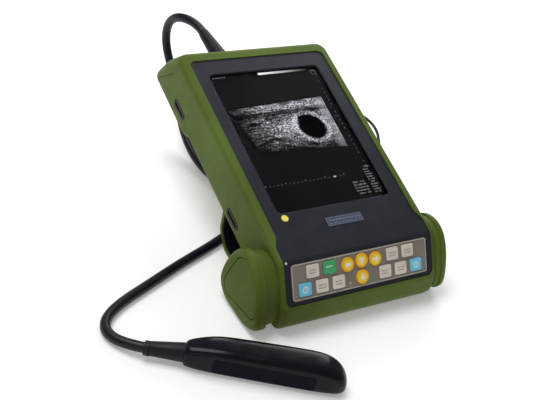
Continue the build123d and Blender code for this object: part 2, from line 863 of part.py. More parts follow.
liner_front = bay_front + 2.1
liner_back = bay_back - bay_wall - 0.1
with BuildPart() as probe_bay_liner:
    with BuildSketch(Plane.YZ):
        with BuildLine():
            FilletPolyline(
                (liner_front, under(slab_back - 0.2, liner_front)),
                (liner_front, bay_wall + 0.1),
                (62.2, bay_wall + 0.1),
                (liner_back, 14.0),
                (liner_back, under(slab_back - 0.2, liner_back)),
                radius=(0, 0.9, 11.1, 9.1, 0),
                close=True,
            )
        make_face()
        offset(amount=-liner_wall, mode=Mode.SUBTRACT)
    extrude(amount=bay_half - 0.8, both=True)
save(probe_bay_liner.part, "probe_bay_liner")

# ---------------------------------------------------------------- side slots and carrying cord
with BuildPart() as slot_liners:
    for side in (-1, 1):
        for h, n in slots:
            with BuildSketch(side_plane(side, 60.5, h, n)):
                SlotOverall(slot_len + 2, slot_w + 2)
            extrude(amount=body_half - wall - 60.5)
            with BuildSketch(side_plane(side, 61.3, h, n)):
                SlotOverall(slot_len, slot_w)
            extrude(amount=4, mode=Mode.SUBTRACT)
            with BuildSketch(pin_plane(side, h, n, slot_len + 4)):
                Circle(pin_r)
            extrude(amount=slot_len + 4, mode=Mode.SUBTRACT)
save(slot_liners.part, "slot_liners")

with BuildPart() as strap_pins:
    for side in (-1, 1):
        for h, n in slots:
            with BuildSketch(pin_plane(side, h, n, slot_len + 4)):
                Circle(pin_r)
            extrude(amount=slot_len + 4)
save(strap_pins.part, "strap_pins")


def corner_radii(points):
    """Radius of the arc at each inner corner: 0.45 of the shorter run, over the tangent of half the turn."""
    radii = []
    for before, here, after in zip(points, points[1:], points[2:]):
        run_in = Vector(*here) - Vector(*before)
        run_out = Vector(*after) - Vector(*here)
        turn = run_in.get_angle(run_out)
        radii.append(0.45 * min(run_in.length, run_out.length) / tan(radians(turn / 2)))
    return radii


def tube(points, diameter, name):
    """Round cord along straight runs joined by arcs."""
    radii = corner_radii(points)
    with BuildPart() as cord:
        with BuildLine():
            route = FilletPolyline(*points, radius=radii)
        with BuildSketch(Plane(origin=route @ 0, z_dir=route % 0)):
            Circle(diameter / 2)
        sweep(path=route)
    print(name, "length", round(route.length, 1), "least radius", round(min(radii), 1))
    save(cord.part, name)


cord_points = [(x, *on_slab(h, n)) for x, h, n in cord_corners]
tube(cord_points, cord_d, "carry_cord")

# ---------------------------------------------------------------- cable and strain relief
with BuildPart() as cable_strain_relief:
    with BuildSketch(relief_plane.offset(-relief_len)):
        Circle(relief_base_r)
    with BuildSketch(relief_plane):
        Circle(relief_tip_r)
    loft()
save(cable_strain_relief.part, "cable_strain_relief")

with BuildPart() as cable_clamp_nut:
    with BuildSketch(relief_plane.offset(-relief_len - 4)):
        RegularPolygon(9, 6)
    extrude(amount=4)
save(cable_clamp_nut.part, "cable_clamp_nut")

tube(cable_points, cable_d, "probe_cable")

# ---------------------------------------------------------------- probe
heading = Vector(cos(radians(probe_heading)), sin(radians(probe_heading)), 0)
across_probe = Vector(-heading.Y, heading.X, 0)


def probe_plane(along):
    """Cross-section plane of the probe: x towards its far side, y up."""
    origin = Vector(*probe_tail, probe_axis_z) + heading * along
    return Plane(origin=origin, x_dir=across_probe, z_dir=heading)


def probe_section(along, width, height, aside, up, corner):
    """Rounded cross-section of the probe at a distance along it."""
    with BuildSketch(probe_plane(along)) as face:
        with Locations((aside, up)):
            RectangleRounded(width, height, corner)
    return face.sketch


window_start, window_end = probe_window
with BuildPart() as probe_body:
    loft([probe_section(*section) for section in body_sections], ruled=True)
    with BuildSketch(probe_plane(30)):
        Rectangle(13, 13)
    extrude(amount=window_end - 30, mode=Mode.SUBTRACT)
    with BuildSketch(probe_plane(window_start)):
        with Locations((-8, 0)):
            Rectangle(3, 8.4)
    extrude(amount=window_end - window_start, mode=Mode.SUBTRACT)
save(probe_body.part, "probe_body")

with BuildPart() as probe_lens:
    with BuildSketch(probe_plane(window_start)):
        with Locations((-8, 0)):
            Rectangle(3, 8.4)
    extrude(amount=window_end - window_start)
save(probe_lens.part, "probe_lens")

with BuildPart() as probe_array:
    with BuildSketch(probe_plane(31)):
        with Locations((-4.2, 0)):
            Rectangle(4.5, 10)
    extrude(amount=window_end - 32)
save(probe_array.part, "probe_array")

with BuildPart() as probe_nose:
    loft([probe_section(*section) for section in nose_sections])
save(probe_nose.part, "probe_nose")

cable_end = Vector(*cable_points[-1])
collar_plane = Plane(origin=cable_end, z_dir=cable_end - Vector(*cable_points[-2]))
with BuildPart() as probe_sleeve:
    with BuildSketch(collar_plane):
        Circle(5.0)
    extrude(amount=3.6)
    with BuildSketch(collar_plane):
        Circle(4.6)
    with BuildSketch(probe_plane(0)):
        with Locations((-1.2, -0.9)):
            Circle(6.6)
    loft()
save(probe_sleeve.part, "probe_sleeve")
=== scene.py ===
import json
import math
import random

import bmesh
import bpy
from mathutils import Matrix, Vector


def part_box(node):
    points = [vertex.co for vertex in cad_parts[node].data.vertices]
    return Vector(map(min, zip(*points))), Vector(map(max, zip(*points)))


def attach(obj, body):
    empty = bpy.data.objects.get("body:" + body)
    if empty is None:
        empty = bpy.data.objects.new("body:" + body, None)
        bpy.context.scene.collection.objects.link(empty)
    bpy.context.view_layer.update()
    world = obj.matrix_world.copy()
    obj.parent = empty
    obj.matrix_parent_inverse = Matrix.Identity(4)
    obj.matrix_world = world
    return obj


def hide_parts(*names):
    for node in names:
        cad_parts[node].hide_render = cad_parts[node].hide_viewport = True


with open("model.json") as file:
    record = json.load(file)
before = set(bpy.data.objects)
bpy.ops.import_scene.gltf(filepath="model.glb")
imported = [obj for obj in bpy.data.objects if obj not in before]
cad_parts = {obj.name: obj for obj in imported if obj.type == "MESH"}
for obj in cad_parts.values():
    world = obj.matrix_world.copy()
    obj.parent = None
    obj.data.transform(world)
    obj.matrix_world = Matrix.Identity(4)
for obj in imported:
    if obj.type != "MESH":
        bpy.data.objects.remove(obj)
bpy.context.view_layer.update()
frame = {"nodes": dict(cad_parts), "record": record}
nodes = frame["nodes"]
MM = 0.001

# ---------------------------------------------------------- shape of the object, in millimetres and degrees
SCREEN_TILT = math.radians(17.7)
SCREEN_CENTRE = (86.1, 82.75)
KEYPAD_TILT = math.radians(59.6)
KEYPAD_FOOT = (-27.9, 27.5)
PICTURE_DEPTH = -1.78
BODY_HALF = 67.5
BEZEL_TOP = 0.6
NAME_PLATE = (-0.3, -79.6)
NAME_PLATE_TOP = BEZEL_TOP + 0.3
OVERLAY_SIZE = (117.0, 25.7)
OVERLAY_TOP = 0.15
OVERLAY_BORDER = 0.15
KEY_TOP = 1.1
PRINT_THICK = 0.06
# Outer and inner size of the black rims around the side slots, painted shade for the dark slot openings
SLOT_SHADE_RIM_OUTER = (19.4, 6.4)
SLOT_SHADE_RIM_INNER = (15.6, 2.4)

CABLE_DIAMETER = 7.4
# The same points as in the part's source, from the slab's top end to the probe
CABLE_ROUTE = [
    (-18.5, 218.2, 99.7),
    (-19.5, 228.5, 102.5),
    (-26.0, 245.8, 101.2),
    (-28.2, 259.6, 91.8),
    (-28.3, 264.6, 77.8),
    (-27.0, 261.0, 62.0),
    (-24.5, 247.2, 45.6),
    (-26.6, 226.7, 28.4),
    (-30.7, 201.5, 13.0),
    (-31.0, 172.0, 4.2),
    (-25.5, 140.0, 3.8),
    (-24.0, 113.0, 3.8),
    (-30.0, 93.0, 3.8),
    (-42.0, 82.3, 3.8),
    (-55.0, 75.3, 3.8),
    (-70.0, 68.0, 3.8),
    (-102.4, 55.0, 3.8),
    (-132.2, 41.2, 3.8),
    (-160.0, 28.6, 3.8),
    (-174.5, 17.5, 3.8),
    (-178.5, 5.5, 3.9),
    (-172.5, -8.0, 5.2),
    (-161.4, -18.3, 7.4),
]
CORD_DIAMETER = 2.3
# x, h and n of each corner of the carrying cord
CORD_CORNERS = [
    (65.0, 59.5, -29.8),
    (79.0, 38.0, -25.0),
    (90.0, 14.0, -20.0),
    (83.0, -8.0, -20.5),
    (65.0, -45.8, -28.6),
]

PROBE_TAIL = Vector((-138.5, -30.4, 9.5))
PROBE_HEADING = math.radians(-33.0)
PROBE_FLAT = -9.5


def slab(x, h, n):
    """Point at x across, h up the screen and n out of it, in metres."""
    y = SCREEN_CENTRE[0] + h * math.cos(SCREEN_TILT) - n * math.sin(SCREEN_TILT)
    z = SCREEN_CENTRE[1] + h * math.sin(SCREEN_TILT) + n * math.cos(SCREEN_TILT)
    return Vector((x, y, z)) * MM


def keypad(x, k, n):
    """Point at x across, k up the keypad and n out of it, in metres."""
    y = KEYPAD_FOOT[0] + k * math.cos(KEYPAD_TILT) - n * math.sin(KEYPAD_TILT)
    z = KEYPAD_FOOT[1] + k * math.sin(KEYPAD_TILT) + n * math.cos(KEYPAD_TILT)
    return Vector((x, y, z)) * MM


# ---------------------------------------------------------------- camera
def make_camera():
    """Camera at the place and in the direction that were fitted to the photograph's view."""
    right = Vector((0.8508, -0.4872, 0.1969))
    up = Vector((0.1475, 0.5810, 0.8005))
    forward = Vector((0.5044, 0.6520, -0.5662))
    data = bpy.data.cameras.new("camera")
    data.lens = 64.03
    data.sensor_width = 36
    data.clip_start = 0.05
    camera = bpy.data.objects.new("camera", data)
    turn = Matrix((right, up, -forward)).transposed()
    camera.matrix_world = Matrix.Translation((-0.39757, -0.42476, 0.46512)) @ turn.to_4x4()
    bpy.context.scene.collection.objects.link(camera)
    bpy.context.scene.camera = camera


make_camera()


# ---------------------------------------------------------------- cords
def smooth_curve(name, points, diameter):
    """Round cord along a smooth curve with these control points, in metres."""
    data = bpy.data.curves.new(name, "CURVE")
    data.dimensions = "3D"
    data.bevel_depth = 1.0
    data.bevel_resolution = 6
    data.resolution_u = 10
    data.use_fill_caps = True
    spline = data.splines.new("NURBS")
    spline.points.add(len(points) - 1)
    for place, point in zip(spline.points, points):
        place.co = (*point, 1)
        place.radius = diameter / 2
    spline.order_u = 3
    spline.use_endpoint_u = True
    piece = bpy.data.objects.new(name, data)
    bpy.context.scene.collection.objects.link(piece)
    return piece


cable_points = [Vector(p) * MM for p in CABLE_ROUTE]
cable = smooth_curve("probe_lead", cable_points, CABLE_DIAMETER * MM)
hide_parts("probe_cable")
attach(cable, "scanner")

cord_points = [slab(*p) for p in CORD_CORNERS]
cord = smooth_curve("carrying_cord", cord_points, CORD_DIAMETER * MM)
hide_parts("carry_cord")
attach(cord, "scanner")


# ---------------------------------------------------------------- materials
class Shade:
    """A Principled material and short ways to add nodes to it."""

    def __init__(self, name, color, roughness, **sockets):
        self.material = bpy.data.materials.new(name)
        self.material.use_nodes = True
        self.tree = self.material.node_tree
        self.shader = self.tree.nodes["Principled BSDF"]
        self.set("Base Color", (*color, 1))
        self.set("Roughness", roughness)
        for socket, value in sockets.items():
            self.set(socket.replace("_", " "), value)
        self.material.diffuse_color = (*color, 1)

    def set(self, socket, value):
        self.shader.inputs[socket].default_value = value

    def join(self, source, target):
        self.tree.links.new(source, target)

    def node(self, kind):
        return self.tree.nodes.new(kind)

    def place(self, kind="Object"):
        return self.node("ShaderNodeTexCoord").outputs[kind]

    def noise(self, scale, detail=3.0, roughness=0.5, vector=None, distortion=0.0):
        texture = self.node("ShaderNodeTexNoise")
        texture.inputs["Scale"].default_value = scale
        texture.inputs["Detail"].default_value = detail
        texture.inputs["Roughness"].default_value = roughness
        texture.inputs["Distortion"].default_value = distortion
        self.join(vector or self.place(), texture.inputs["Vector"])
        return texture.outputs["Fac"]

    def ramp(self, value, low, high, to_low, to_high):
        chart = self.node("ShaderNodeMapRange")
        chart.interpolation_type = "SMOOTHSTEP"
        numbers = {"From Min": low, "From Max": high, "To Min": to_low, "To Max": to_high}
        for socket, number in numbers.items():
            chart.inputs[socket].default_value = number
        self.join(value, chart.inputs["Value"])
        return chart.outputs["Result"]

    def math(self, operation, first, second=0.0):
        step = self.node("ShaderNodeMath")
        step.operation = operation
        for socket, value in zip(step.inputs, (first, second)):
            if isinstance(value, (int, float)):
                socket.default_value = value
            else:
                self.join(value, socket)
        return step.outputs[0]

    def blend(self, factor, first, second):
        mixer = self.node("ShaderNodeMix")
        mixer.data_type = "RGBA"
        self.join(factor, mixer.inputs["Factor"])
        for socket, value in zip((mixer.inputs[6], mixer.inputs[7]), (first, second)):
            if isinstance(value, tuple):
                socket.default_value = (*value, 1)
            else:
                self.join(value, socket)
        return mixer.outputs[2]

    def bump(self, height, distance, strength=1.0, under=None):
        raised = self.node("ShaderNodeBump")
        raised.inputs["Strength"].default_value = strength
        raised.inputs["Distance"].default_value = distance
        self.join(height, raised.inputs["Height"])
        if under is not None:
            self.join(under, raised.inputs["Normal"])
        return raised.outputs["Normal"]


def moulded(name, dark, light, roughness, grain=1600, depth=0.00003, mottle=14, spread=0.05, **sockets):
    """Moulded surface: soft colour drift, fine grain, and patches that are a little more or less glossy."""
    shade = Shade(name, light, roughness, **sockets)
    drift = shade.ramp(shade.noise(mottle, 2), 0.3, 0.7, 0, 1)
    fleck = shade.ramp(shade.noise(grain * 0.45, 2), 0.35, 0.65, 0, 1)
    tone = shade.math("ADD", shade.math("MULTIPLY", drift, 0.72), shade.math("MULTIPLY", fleck, 0.28))
    shade.join(shade.blend(tone, dark, light), shade.shader.inputs["Base Color"])
    gloss = shade.ramp(shade.noise(mottle * 6, 4, 0.6), 0.3, 0.7, roughness - spread, roughness + spread)
    shade.join(gloss, shade.shader.inputs["Roughness"])
    shade.join(shade.bump(shade.noise(grain, 2), depth), shade.shader.inputs["Normal"])
    return shade.material


def brushed(name, dark, light, roughness, **sockets):
    """Metal with fine lines."""
    shade = Shade(name, light, roughness, Metallic=1.0, **sockets)
    mapping = shade.node("ShaderNodeMapping")
    mapping.inputs["Scale"].default_value = (60, 2500, 2500)
    shade.join(shade.place(), mapping.inputs["Vector"])
    lines = shade.noise(1, 3, vector=mapping.outputs[0])
    shade.join(shade.blend(lines, dark, light), shade.shader.inputs["Base Color"])
    gloss = shade.ramp(lines, 0.3, 0.7, roughness - 0.06, roughness + 0.1)
    shade.join(gloss, shade.shader.inputs["Roughness"])
    shade.join(shade.bump(lines, 0.00001), shade.shader.inputs["Normal"])
    return shade.material


def lead_jacket(name):
    """Smooth dark cable jacket with faint scuffs along it."""
    shade = Shade(name, (0.006, 0.007, 0.011), 0.3, Specular_IOR_Level=0.28)
    scuff = shade.ramp(shade.noise(90, 5, 0.7), 0.45, 0.75, 0, 1)
    color = shade.blend(scuff, (0.004, 0.005, 0.009), (0.010, 0.011, 0.017))
    shade.join(color, shade.shader.inputs["Base Color"])
    shade.join(shade.ramp(scuff, 0, 1, 0.33, 0.46), shade.shader.inputs["Roughness"])
    shade.join(shade.bump(shade.noise(700, 2), 0.00003), shade.shader.inputs["Normal"])
    return shade.material


def braid(name):
    """Woven black cord, darker between its strands as painted shade."""
    shade = Shade(name, (0.012, 0.012, 0.014), 0.75, Sheen_Weight=0.3)
    weave = shade.node("ShaderNodeTexVoronoi")
    weave.inputs["Scale"].default_value = 1700
    shade.join(shade.place(), weave.inputs["Vector"])
    # Painted shade: the weave is darker in the gaps between its strands
    gap_shade = shade.ramp(weave.outputs["Distance"], 0.1, 0.7, 0, 1)
    color = shade.blend(gap_shade, (0.035, 0.035, 0.04), (0.006, 0.006, 0.007))
    shade.join(color, shade.shader.inputs["Base Color"])
    shade.join(shade.bump(weave.outputs["Distance"], -0.0002), shade.shader.inputs["Normal"])
    return shade.material


def cover_glass(name):
    """Clear window with a very faint haze."""
    shade = Shade(name, (0.95, 0.96, 1.0), 0.0, Transmission_Weight=1.0, IOR=1.05)
    haze = shade.ramp(shade.noise(30, 2), 0.3, 0.7, 0, 1)
    shade.join(shade.blend(haze, (0.93, 0.94, 0.98), (0.97, 0.98, 1.0)), shade.shader.inputs["Base Color"])
    return shade.material


def circuit_board(name):
    """Green board with a grid of fine copper tracks under the lacquer."""
    shade = Shade(name, (0.01, 0.1, 0.04), 0.4, Coat_Weight=0.3)
    tracks = shade.node("ShaderNodeTexBrick")
    tracks.inputs["Scale"].default_value = 160
    tracks.inputs["Color1"].default_value = (0.012, 0.12, 0.05, 1)
    tracks.inputs["Color2"].default_value = (0.008, 0.09, 0.04, 1)
    tracks.inputs["Mortar"].default_value = (0.03, 0.2, 0.07, 1)
    tracks.inputs["Mortar Size"].default_value = 0.04
    shade.join(shade.place(), tracks.inputs["Vector"])
    shade.join(tracks.outputs["Color"], shade.shader.inputs["Base Color"])
    shade.join(shade.bump(tracks.outputs["Fac"], 0.00003), shade.shader.inputs["Normal"])
    return shade.material


def glowing(name, color, strength):
    """Lit pixels of the display, with the fine grid of its cells."""
    shade = Shade(name, (0, 0, 0), 0.5, Specular_IOR_Level=0.0, Emission_Strength=strength)
    cells = shade.ramp(shade.noise(2200, 1), 0.3, 0.7, 0, 1)
    dim = tuple(c * 0.75 for c in color)
    shade.join(shade.blend(cells, dim, color), shade.shader.inputs["Emission Color"])
    return shade.material


def scan_picture(name):
    """Grainy grey echo picture: bright tissue, a dark round hollow, and streaks beside it."""
    shade = Shade(name, (0, 0, 0), 0.5, Specular_IOR_Level=0.0, Emission_Strength=1.0)
    place = shade.place("UV")
    split = shade.node("ShaderNodeSeparateXYZ")
    shade.join(place, split.inputs[0])
    x, h = split.outputs[0], split.outputs[1]

    def stretched(scale_x, scale_h, turn, detail, roughness):
        mapping = shade.node("ShaderNodeMapping")
        mapping.inputs["Scale"].default_value = (scale_x, scale_h, 1)
        mapping.inputs["Rotation"].default_value = (0, 0, turn)
        shade.join(place, mapping.inputs["Vector"])
        return shade.noise(1, detail, roughness, mapping.outputs[0], 0.6)

    speckle = shade.ramp(stretched(60, 85, 0.25, 5, 0.75), 0.42, 0.66, 0, 1)
    tissue = shade.ramp(stretched(7, 13, 0.35, 3, 0.6), 0.36, 0.62, 0.1, 1)
    fibres = shade.ramp(stretched(9, 60, 0.3, 4, 0.6), 0.45, 0.68, 0, 1)

    def bell(value, centre, width):
        away = shade.math("DIVIDE", shade.math("SUBTRACT", value, centre), width)
        return shade.math("POWER", 2.718, shade.math("MULTIPLY", shade.math("MULTIPLY", away, away), -1))

    across = shade.math("SUBTRACT", x, 0.165)
    up = shade.math("SUBTRACT", h, 0.072)
    lean = shade.math("ADD", shade.math("MULTIPLY", across, 0.86), shade.math("MULTIPLY", up, 0.5))
    stand = shade.math("SUBTRACT", shade.math("MULTIPLY", up, 0.86), shade.math("MULTIPLY", across, 0.5))
    wobble = shade.math("MULTIPLY", shade.math("SUBTRACT", stretched(22, 22, 0, 2, 0.5), 0.5), 0.22)
    lean = shade.math("DIVIDE", lean, 0.112)
    stand = shade.math("DIVIDE", stand, 0.128)
    squares = shade.math("ADD", shade.math("MULTIPLY", lean, lean), shade.math("MULTIPLY", stand, stand))
    distance = shade.math("ADD", shade.math("SQRT", squares), wobble)
    hollow = shade.ramp(distance, 0.86, 1.1, 0.01, 1)
    wall_glow = shade.math("MULTIPLY", bell(distance, 1.18, 0.14), 0.7)
    left_fade = shade.ramp(x, -0.45, -0.15, 0.15, 1)
    low_fade = shade.ramp(h, -0.15, 0.0, 0.12, 1)
    core = shade.math("MULTIPLY", bell(x, 0.0, 0.1), bell(h, 0.1, 0.07))
    bright_core = shade.math("MULTIPLY", core, 0.75)
    top_band = shade.math("MULTIPLY", bell(h, 0.29, 0.035), 0.35)
    dark_band = shade.math("SUBTRACT", 1, shade.math("MULTIPLY", bell(h, 0.235, 0.03), 0.75))
    body = shade.math("MULTIPLY", tissue, 0.3)
    body = shade.math("ADD", body, shade.math("MULTIPLY", fibres, 0.55))
    body = shade.math("ADD", body, shade.math("ADD", bright_core, wall_glow))
    body = shade.math("MULTIPLY", shade.math("ADD", body, top_band), dark_band)
    grain = shade.math("ADD", shade.math("MULTIPLY", speckle, 0.96), 0.04)
    tone = shade.math("MULTIPLY", shade.math("MULTIPLY", body, grain), hollow)
    tone = shade.math("MULTIPLY", shade.math("MULTIPLY", tone, left_fade), low_fade)
    # Streaks parallel to the right-hand edge
    bent = shade.math("ADD", x, shade.math("MULTIPLY", wobble, 0.06))
    stripe = shade.math("SINE", shade.math("MULTIPLY", bent, 420))
    stripes = shade.math("MULTIPLY", shade.ramp(x, 0.28, 0.34, 0, 0.25), shade.ramp(stripe, -0.2, 1, 0, 1))
    tone = shade.math("ADD", tone, shade.math("MULTIPLY", stripes, shade.ramp(distance, 1.0, 1.3, 0, 1)))
    tone = shade.math("MULTIPLY", shade.math("POWER", tone, 1.25), 2.6)
    cold = shade.blend(shade.math("MINIMUM", tone, 1), (0.002, 0.002, 0.003), (0.8, 0.82, 0.86))
    shade.join(cold, shade.shader.inputs["Emission Color"])
    return shade.material


def fading_bar(name):
    """Grey scale from dim to bright."""
    shade = Shade(name, (0, 0, 0), 0.5, Specular_IOR_Level=0.0, Emission_Strength=1.0)
    split = shade.node("ShaderNodeSeparateXYZ")
    shade.join(shade.place("UV"), split.inputs[0])
    shade.join(
        shade.blend(shade.ramp(split.outputs[0], -0.1, 0.42, 1, 0), (0.02, 0.02, 0.022), (1.0, 1.0, 1.0)),
        shade.shader.inputs["Emission Color"],
    )
    return shade.material


GREEN = ((0.072, 0.104, 0.015), (0.104, 0.154, 0.025))
KEY_FINISH = {"mottle": 60, "depth": 0.00001}
looks = {
    "green_housing": moulded("green_soft_touch", *GREEN, 0.5, Specular_IOR_Level=0.1),
    "green_rubber": moulded("green_rubber", *GREEN, 0.55, grain=1300, Specular_IOR_Level=0.1),
    "black_rubber": moulded(
        "black_rubber", (0.004, 0.004, 0.006), (0.010, 0.010, 0.013), 0.45, Specular_IOR_Level=0.2
    ),
    "dark_bezel": moulded(
        "dark_bezel",
        (0.012, 0.0135, 0.020),
        (0.018, 0.020, 0.030),
        0.36,
        grain=1900,
        depth=0.00002,
        Specular_IOR_Level=0.24,
    ),
    "glass": cover_glass("cover_glass"),
    "display": moulded(
        "display_black",
        (0.0035, 0.0035, 0.004),
        (0.005, 0.005, 0.0055),
        0.4,
        depth=0.000002,
        spread=0.02,
        Specular_IOR_Level=0.06,
    ),
    "overlay": moulded(
        "overlay_film", (0.20, 0.165, 0.135), (0.245, 0.205, 0.172), 0.5, grain=2400, mottle=30
    ),
    "white_key": moulded("white_key", (0.66, 0.60, 0.50), (0.78, 0.73, 0.62), 0.4, **KEY_FINISH),
    "green_key": moulded("green_key", (0.04, 0.34, 0.12), (0.06, 0.42, 0.17), 0.38, **KEY_FINISH),
    "yellow_key": moulded("yellow_key", (0.82, 0.38, 0.004), (0.93, 0.50, 0.010), 0.38, **KEY_FINISH),
    "blue_key": moulded("blue_key", (0.13, 0.55, 0.76), (0.20, 0.68, 0.88), 0.38, **KEY_FINISH),
    "plate": moulded(
        "slate_plate", (0.045, 0.058, 0.095), (0.062, 0.080, 0.125), 0.4, mottle=80, Metallic=0.3
    ),
    "chassis": brushed("chassis_metal", (0.5, 0.5, 0.52), (0.68, 0.69, 0.7), 0.35),
    "board": circuit_board("circuit_board"),
    "chip": moulded("chip_resin", (0.012, 0.012, 0.013), (0.03, 0.03, 0.032), 0.5),
    "steel": brushed("brushed_steel", (0.16, 0.17, 0.20), (0.32, 0.34, 0.38), 0.32),
    "brass": brushed("brass", (0.45, 0.32, 0.12), (0.65, 0.48, 0.2), 0.3),
    "black_plastic": moulded("black_plastic", (0.006, 0.006, 0.007), (0.014, 0.014, 0.015), 0.5),
    "cell_wrap": moulded("cell_wrap", (0.03, 0.035, 0.06), (0.05, 0.06, 0.09), 0.35),
    "cell": brushed("cell_can", (0.3, 0.31, 0.33), (0.5, 0.51, 0.54), 0.3),
    "cord": braid("woven_cord"),
    "cable": lead_jacket("cable_jacket"),
    "probe": moulded(
        "probe_gloss",
        (0.0025, 0.003, 0.006),
        (0.004, 0.005, 0.010),
        0.17,
        grain=500,
        depth=0.00001,
        Specular_IOR_Level=0.16,
    ),
    "probe_face": moulded(
        "probe_face", (0.003, 0.004, 0.009), (0.005, 0.006, 0.012), 0.42, Specular_IOR_Level=0.06
    ),
    "array": moulded("array_ceramic", (0.3, 0.25, 0.16), (0.4, 0.34, 0.22), 0.6),
}
for part in frame["record"]["subparts"]:
    mesh = nodes[part["node"]].data
    mesh.materials.clear()
    mesh.materials.append(looks[part["material_slot"]])

# The strap pins are drawn darker than the other steel parts
pins = nodes["strap_pins"].data.materials
pins.clear()
pins.append(brushed("blackened_steel", (0.02, 0.02, 0.024), (0.05, 0.05, 0.056), 0.4))
cable.data.materials.append(looks["cable"])
cord.data.materials.append(looks["cord"])

print_white = moulded("print_white", (0.75, 0.75, 0.72), (0.9, 0.9, 0.88), 0.5, mottle=200)
print_grey = moulded("print_grey", (0.30, 0.28, 0.25), (0.42, 0.39, 0.35), 0.5, mottle=200)
print_pale = moulded("print_pale", (0.42, 0.38, 0.34), (0.55, 0.50, 0.45), 0.5, mottle=200)
print_yellow = moulded("print_yellow", (0.80, 0.66, 0.05), (0.92, 0.80, 0.12), 0.45, mottle=200)
print_gold = moulded("print_gold", (0.90, 0.60, 0.02), (0.98, 0.72, 0.04), 0.4, mottle=200)
print_lime = moulded("print_lime", (0.35, 0.42, 0.06), (0.5, 0.6, 0.1), 0.5, mottle=200)
print_teal = moulded("print_teal", (0.05, 0.22, 0.16), (0.08, 0.3, 0.22), 0.5, mottle=200)
print_slate = moulded("print_slate", (0.10, 0.125, 0.18), (0.14, 0.17, 0.24), 0.4, mottle=200)
lit_white = glowing("lit_white", (0.8, 0.82, 0.85), 1.0)
lit_grey = glowing("lit_grey", (0.22, 0.23, 0.25), 1.0)


# ---------------------------------------------------------- thin raised pieces: prints, marks and picture
def link(name, mesh, material, body):
    """New piece with this mesh, which moves with the body."""
    mesh.materials.append(material)
    piece = bpy.data.objects.new(name, mesh)
    bpy.context.scene.collection.objects.link(piece)
    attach(piece, body)
    return piece


def plates(name, outlines, place, low, high, material, body):
    """Flat closed pieces: each outline, a list of (x, y), stands from low to high above its surface."""
    shape = bmesh.new()
    uv = shape.loops.layers.uv.new("UVMap")
    for outline in outlines:
        bottom = [shape.verts.new(place(x, y, low)) for x, y in outline]
        top = [shape.verts.new(place(x, y, high)) for x, y in outline]
        shape.faces.new(bottom[::-1])
        shape.faces.new(top)
        for i in range(len(outline)):
            j = (i + 1) % len(outline)
            shape.faces.new((bottom[i], bottom[j], top[j], top[i]))
        flat = {vertex: point for ring in (bottom, top) for vertex, point in zip(ring, outline)}
        for vertex, (x, y) in flat.items():
            for loop in vertex.link_loops:
                loop[uv].uv = (x / 100, y / 100)
    bmesh.ops.recalc_face_normals(shape, faces=shape.faces)
    mesh = bpy.data.meshes.new(name)
    shape.to_mesh(mesh)
    shape.free()
    return link(name, mesh, material, body)


def rectangle(x, y, width, height):
    return [
        (x - width / 2, y - height / 2),
        (x + width / 2, y - height / 2),
        (x + width / 2, y + height / 2),
        (x - width / 2, y + height / 2),
    ]


def disc(x, y, radius, count=32):
    turns = [2 * math.pi * i / count for i in range(count)]
    return [(x + radius * math.cos(t), y + radius * math.sin(t)) for t in turns]


def rounded(x, y, width, height, corner, steps=5):
    points = []
    centres = ((1, 1), (-1, 1), (-1, -1), (1, -1))
    for quarter, (side, end) in enumerate(centres):
        for i in range(steps + 1):
            turn = math.pi / 2 * (quarter + i / steps)
            px = x + side * (width / 2 - corner) + corner * math.cos(turn)
            py = y + end * (height / 2 - corner) + corner * math.sin(turn)
            points.append((px, py))
    return points


def band(name, outer, inner, place, low, high, material, body, slot):
    """Closed flat ring between two outlines with equally many points."""
    shape = bmesh.new()
    rings = [
        [shape.verts.new(place(x, y, n)) for x, y in outline]
        for outline, n in ((outer, low), (outer, high), (inner, high), (inner, low))
    ]
    for ring, following in zip(rings, rings[1:] + rings[:1]):
        for i in range(len(ring)):
            j = (i + 1) % len(ring)
            shape.faces.new((ring[i], ring[j], following[j], following[i]))
    bmesh.ops.recalc_face_normals(shape, faces=shape.faces)
    mesh = bpy.data.meshes.new(name)
    shape.to_mesh(mesh)
    shape.free()
    return link(name, mesh, material, body)


# ---------------------------------------------------------------- picture on the display
def make_picture():
    low, high = PICTURE_DEPTH, PICTURE_DEPTH + PRINT_THICK

    def lit(name, outlines, material):
        plates(name, outlines, slab, low, high, material, "scanner")

    scan = [(-45.9, 31.5), (-36.6, -10.4), (37.8, -15.3), (38.3, 34.7)]
    lit("scan_picture", [scan], scan_picture("scan_echo"))
    lit("grey_scale", [rectangle(16, 63.6, 44, 2.0)], fading_bar("grey_scale_light"))
    rng = random.Random(5)
    ticks = [rectangle(-45.2 + 2.3 * i, 63.4, 1.1, 1.2) for i in range(5)]
    lit("corner_ticks", ticks, lit_grey)
    dots = []
    for i in range(21):
        x = -47 + 3.4 * i
        dots.append(disc(x, -41 + (0.0 if i % 5 else 0.8), 0.42 if i % 5 else 0.55, 8))
    lit("depth_dots", dots, lit_grey)
    lit("focus_dot", [disc(12.5, -41.0, 0.8, 12)], lit_white)
    edge = [disc(44.0, 55 - 4.1 * i, 0.42, 8) for i in range(23) if i % 6 != 2]
    lit("edge_dots", edge, lit_grey)
    lines = []
    for row in range(5):
        x = 24.5
        while x < 35:
            width = rng.uniform(0.5, 1.7)
            if rng.random() < 0.85:
                lines.append(rectangle(x + width / 2, -49 - 2.6 * row, width, rng.uniform(0.7, 1.3)))
            x += width + 0.5
    for row in range(11):
        x = 39.5
        while x < 45:
            width = rng.uniform(0.5, 1.5)
            if rng.random() < 0.8:
                lines.append(rectangle(x + width / 2, -36.5 - 2.35 * row, width, rng.uniform(0.7, 1.2)))
            x += width + 0.45
    for row in range(3):
        for i in range(4):
            if rng.random() < 0.8:
                lines.append(rectangle(42 + 1.3 * i, 62 - 1.9 * row, 0.8, 0.9))
    lit("status_dashes", lines, lit_grey)


make_picture()


